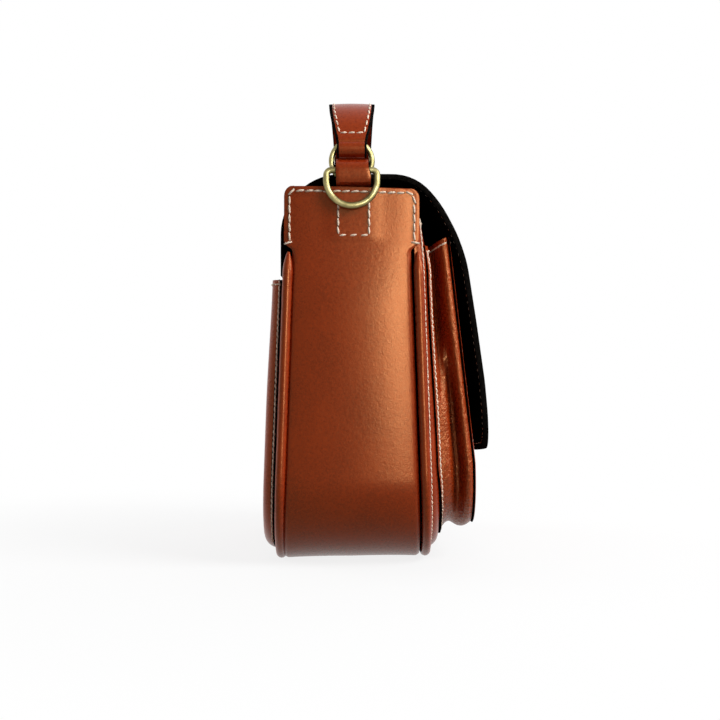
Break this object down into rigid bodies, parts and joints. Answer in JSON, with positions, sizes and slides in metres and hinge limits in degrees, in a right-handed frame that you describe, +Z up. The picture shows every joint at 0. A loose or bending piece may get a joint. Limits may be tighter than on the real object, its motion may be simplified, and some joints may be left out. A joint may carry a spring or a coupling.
{
  "type": "saddle handbag",
  "caption": "Tan leather saddle handbag with padded side walls, a lifting front flap, a bellows pocket under it, a slip pocket behind and a stiff top handle on brass rings.",
  "frame": {"origin": "middle of the flat base on the surface that the bag stands on", "axes": "+Z up, -Y out of the front where the flap closes, X across the width between the side walls"},
  "size_m": [0.2586, 0.1338, 0.2762],
  "materials": {
    "tan_leather": "glossy",
    "black_lining": "matt",
    "foam_padding": "matt",
    "piping_cord": "matt",
    "antique_brass": "polished, light antique"
  },
  "bodies": {
    "bag": {"gusset": "tan_leather", "gusset_padding": "foam_padding", "gusset_lining": "black_lining", "front_panel": "tan_leather", "front_lining": "black_lining", "back_panel": "tan_leather", "back_lining": "black_lining", "back_pocket": "tan_leather", "front_piping": "tan_leather", "front_piping_cord": "piping_cord", "rear_piping": "tan_leather", "rear_piping_cord": "piping_cord", "front_pocket_gusset": "tan_leather", "front_pocket_panel": "tan_leather", "left_ring_tab": "tan_leather", "right_ring_tab": "tan_leather", "snap_socket": "antique_brass", "snap_socket_washer": "antique_brass", "flap_crown": "tan_leather", "crown_lining": "black_lining"},
    "flap": {"flap_front": "tan_leather", "flap_lining": "black_lining", "snap_stud": "antique_brass", "snap_stud_washer": "antique_brass"},
    "handle": {"handle_top": "tan_leather", "handle_underside": "tan_leather", "handle_core": "foam_padding"},
    "left_handle_ring": {"left_handle_ring": "antique_brass"},
    "right_handle_ring": {"right_handle_ring": "antique_brass"},
    "left_strap_ring": {"left_strap_ring": "antique_brass"},
    "right_strap_ring": {"right_strap_ring": "antique_brass"}
  },
  "joints": [
    {"name": "flap_lift", "type": "hinge", "parent": "bag", "child": "flap", "pos_m": [0, -0.0232, 0.227], "axis": [-1, 0, 0], "range_deg": [0, 120]},
    {"name": "left_handle_ring_swing", "type": "hinge", "parent": "bag", "child": "left_handle_ring", "pos_m": [-0.12008, 0, 0.2215], "axis": [0, 1, 0], "range_deg": [-8, 8]},
    {"name": "handle_level", "type": "hinge", "parent": "left_handle_ring", "child": "handle", "pos_m": [-0.12008, 0, 0.2431], "axis": [0, 1, 0], "range_deg": [-8, 8]},
    {"name": "right_handle_ring_swing", "type": "hinge", "parent": "bag", "child": "right_handle_ring", "pos_m": [0.12008, 0, 0.2215], "axis": [0, 1, 0], "range_deg": [-8, 8]},
    {"name": "left_strap_ring_swing", "type": "hinge", "parent": "bag", "child": "left_strap_ring", "pos_m": [-0.12487, 0, 0.2272], "axis": [0, 1, 0], "range_deg": [0, 140]},
    {"name": "right_strap_ring_swing", "type": "hinge", "parent": "bag", "child": "right_strap_ring", "pos_m": [0.12487, 0, 0.2272], "axis": [0, -1, 0], "range_deg": [0, 140]}
  ],
  "couplings": [
    {"joint": "handle_level", "follows": "left_handle_ring_swing", "ratio": -1},
    {"joint": "right_handle_ring_swing", "follows": "left_handle_ring_swing", "ratio": 1}
  ]
}
